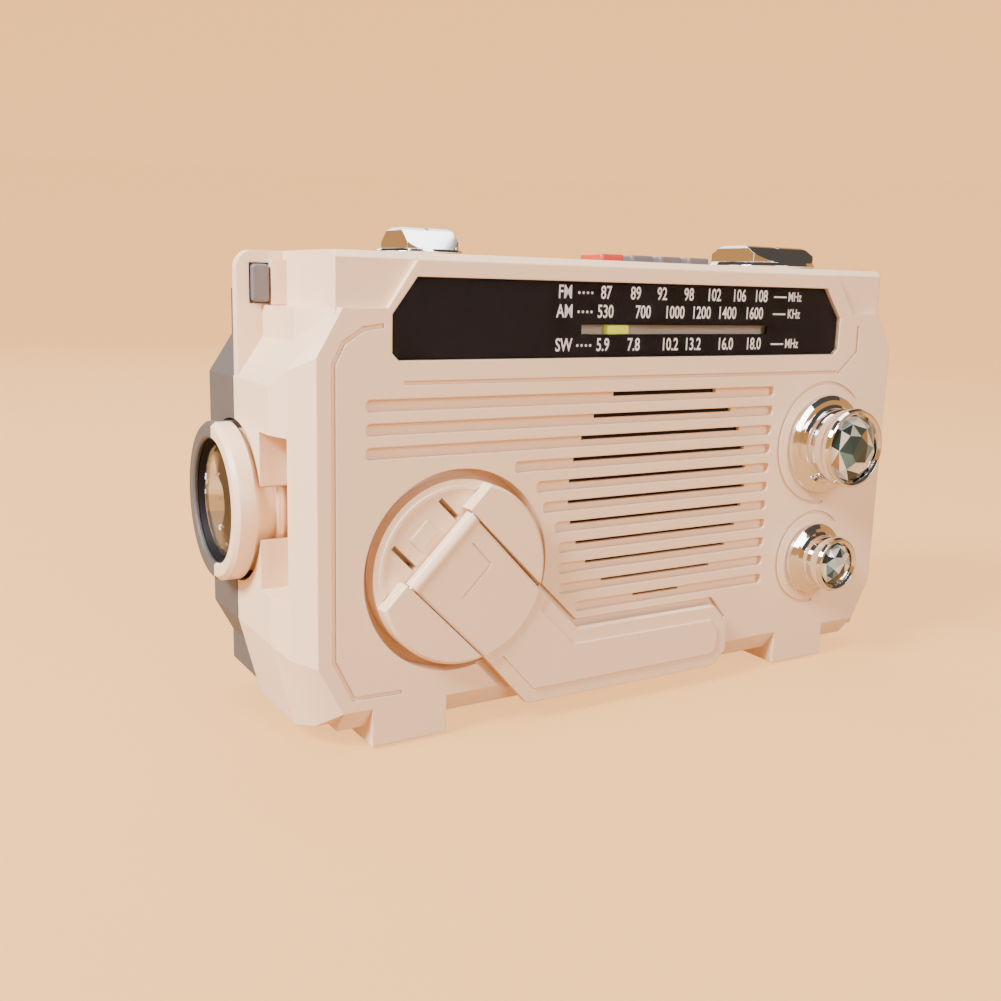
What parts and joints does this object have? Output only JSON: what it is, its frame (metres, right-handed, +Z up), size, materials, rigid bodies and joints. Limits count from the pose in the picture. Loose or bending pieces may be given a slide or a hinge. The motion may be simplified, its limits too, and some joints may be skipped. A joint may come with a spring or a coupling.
{
  "type": "emergency radio",
  "caption": "Hand-crank emergency radio: two-shell case with a folding crank, side torch, dial with a pointer, slotted speaker grille, tuning and volume knobs and a telescopic aerial.",
  "frame": {"origin": "centre of the bounding box seen from above, at the underside of the feet", "axes": "+X to the right of someone facing the dial, -Y out of the dial side, +Z up"},
  "size_m": [0.18, 0.066, 0.113],
  "materials": {
    "beige_plastic": "semi-gloss moulded",
    "dark_plastic": "fine satin texture",
    "black_plastic": "satin",
    "clear_plastic": "polished clear",
    "chrome": "polished plating",
    "gray_plastic": "satin",
    "red_plastic": "satin",
    "pointer_plastic": "bright moulded",
    "light_bar_plastic": "milky",
    "nylon": "natural nylon",
    "steel": "turned",
    "brass": "turned",
    "rubber": "matte",
    "cloth": "woven",
    "paper": "pressed pulp",
    "ferrite": "dull",
    "board": "lacquered",
    "component": "moulded",
    "cell_sleeve": "printed sleeve",
    "silver": "vacuum metallised",
    "solar": "laminated"
  },
  "bodies": {
    "case": {"front_housing": "beige_plastic", "rear_housing": "dark_plastic", "foot_pads": "rubber", "case_screws": "steel", "dial_window": "clear_plastic", "dial_scale": "black_plastic", "dial_light_bar": "light_bar_plastic", "pointer_rail": "steel", "grille_cloth": "cloth", "speaker_frame": "steel", "speaker_cone": "paper", "speaker_magnet": "ferrite", "crank_bushing": "brass", "idler_pin": "steel", "gearbox_plate": "dark_plastic", "dynamo_housing": "steel", "tuning_capacitor": "clear_plastic", "volume_pot": "steel", "key_board": "board", "switches": "component", "light_reflector": "silver", "light_ring": "black_plastic", "light_lens": "clear_plastic", "light_board": "board", "main_board": "board", "board_parts": "component", "ferrite_rod": "ferrite", "ferrite_coil": "brass", "battery_cells": "cell_sleeve", "battery_contacts": "steel", "solar_panel": "solar", "port_board": "board", "port_jacks": "steel"},
    "crank": {"crank_hub": "beige_plastic", "crank_hinge_pin": "steel", "crank_shaft": "steel", "crank_gear": "nylon"},
    "crank_arm": {"crank_arm": "beige_plastic"},
    "idler": {"idler_gear": "nylon"},
    "dynamo": {"dynamo_rotor": "steel"},
    "tuning": {"tuning_knob": "chrome", "tuning_jewel": "clear_plastic", "tuning_drum": "nylon"},
    "pointer": {"dial_pointer": "pointer_plastic"},
    "volume": {"volume_knob": "chrome", "volume_jewel": "clear_plastic"},
    "function": {"function_selector": "chrome"},
    "band": {"band_selector": "chrome"},
    "key_1": {"key_red": "red_plastic"},
    "key_2": {"key_two": "gray_plastic"},
    "key_3": {"key_three": "gray_plastic"},
    "key_4": {"key_four": "gray_plastic"},
    "light_button": {"light_button": "gray_plastic"},
    "battery_door": {"battery_door": "dark_plastic"},
    "port_cover": {"port_cover": "rubber"},
    "antenna_base": {"antenna_base": "chrome"},
    "antenna_outer": {"antenna_outer": "chrome"},
    "antenna_middle": {"antenna_middle": "chrome"},
    "antenna_tip": {"antenna_tip": "chrome"}
  },
  "joints": [
    {"name": "crank_spin", "type": "hinge", "parent": "case", "child": "crank", "pos_m": [-0.0452, -0.018, 0.0383], "axis": [0, 1, 0], "continuous": true},
    {"name": "crank_fold", "type": "hinge", "parent": "crank", "child": "crank_arm", "pos_m": [-0.05029, -0.0221, 0.04339], "axis": [-0.7071, 0, -0.7071], "range_deg": [0, 180]},
    {"name": "idler_spin", "type": "hinge", "parent": "case", "child": "idler", "pos_m": [-0.0452, -0.009, 0.0643], "axis": [0, 1, 0], "continuous": true},
    {"name": "dynamo_spin", "type": "hinge", "parent": "case", "child": "dynamo", "pos_m": [-0.02528, 0, 0.0528], "axis": [0, 1, 0], "continuous": true},
    {"name": "tuning_turn", "type": "hinge", "parent": "case", "child": "tuning", "pos_m": [0.0665, -0.02, 0.0611], "axis": [0, 1, 0], "range_deg": [-24.5, 155]},
    {"name": "pointer_slide", "type": "slide", "parent": "case", "child": "pointer", "axis": [1, 0, 0], "range_m": [-0.007, 0.044]},
    {"name": "volume_turn", "type": "hinge", "parent": "case", "child": "volume", "pos_m": [0.0653, -0.02, 0.0296], "axis": [0, 1, 0], "range_deg": [0, 280]},
    {"name": "function_turn", "type": "hinge", "parent": "case", "child": "function", "pos_m": [-0.0432, 0.0047, 0.108], "axis": [0, 0, 1], "range_deg": [-60, 60]},
    {"name": "band_turn", "type": "hinge", "parent": "case", "child": "band", "pos_m": [0.0639, 0.0047, 0.108], "axis": [0, 0, 1], "range_deg": [-60, 60]},
    {"name": "key_1_press", "type": "slide", "parent": "case", "child": "key_1", "axis": [0, 0, -1], "range_m": [0, 0.0011], "stiffness_N_per_m": 900, "springref_m": -0.0008},
    {"name": "key_2_press", "type": "slide", "parent": "case", "child": "key_2", "axis": [0, 0, -1], "range_m": [0, 0.0011], "stiffness_N_per_m": 900, "springref_m": -0.0008},
    {"name": "key_3_press", "type": "slide", "parent": "case", "child": "key_3", "axis": [0, 0, -1], "range_m": [0, 0.0011], "stiffness_N_per_m": 900, "springref_m": -0.0008},
    {"name": "key_4_press", "type": "slide", "parent": "case", "child": "key_4", "axis": [0, 0, -1], "range_m": [0, 0.0011], "stiffness_N_per_m": 900, "springref_m": -0.0008},
    {"name": "light_press", "type": "slide", "parent": "case", "child": "light_button", "axis": [0, 1, 0], "range_m": [0, 0.001], "stiffness_N_per_m": 700, "springref_m": -0.0008},
    {"name": "battery_door_open", "type": "hinge", "parent": "case", "child": "battery_door", "pos_m": [-0.012, 0.0313, 0.0136], "axis": [-1, 0, 0], "range_deg": [0, 100]},
    {"name": "port_cover_open", "type": "hinge", "parent": "case", "child": "port_cover", "pos_m": [0.046, 0.03225, 0.0412], "axis": [1, 0, 0], "range_deg": [0, 100]},
    {"name": "antenna_turn", "type": "hinge", "parent": "case", "child": "antenna_base", "pos_m": [0.075, 0.029, 0.103], "axis": [0, 1, 0], "range_deg": [0, 120]},
    {"name": "antenna_tilt", "type": "hinge", "parent": "antenna_base", "child": "antenna_outer", "pos_m": [0.075, 0.029, 0.103], "axis": [0, 0, -1], "range_deg": [0, 90]},
    {"name": "antenna_middle_pull", "type": "slide", "parent": "antenna_outer", "child": "antenna_middle", "axis": [-1, 0, 0], "range_m": [0, 0.1]},
    {"name": "antenna_tip_pull", "type": "slide", "parent": "antenna_middle", "child": "antenna_tip", "axis": [-1, 0, 0], "range_m": [0, 0.1]}
  ],
  "couplings": [
    {"joint": "idler_spin", "follows": "crank_spin", "ratio": -3.3333},
    {"joint": "dynamo_spin", "follows": "crank_spin", "ratio": 12},
    {"joint": "pointer_slide", "follows": "tuning_turn", "m_per_rad": 0.01623}
  ]
}
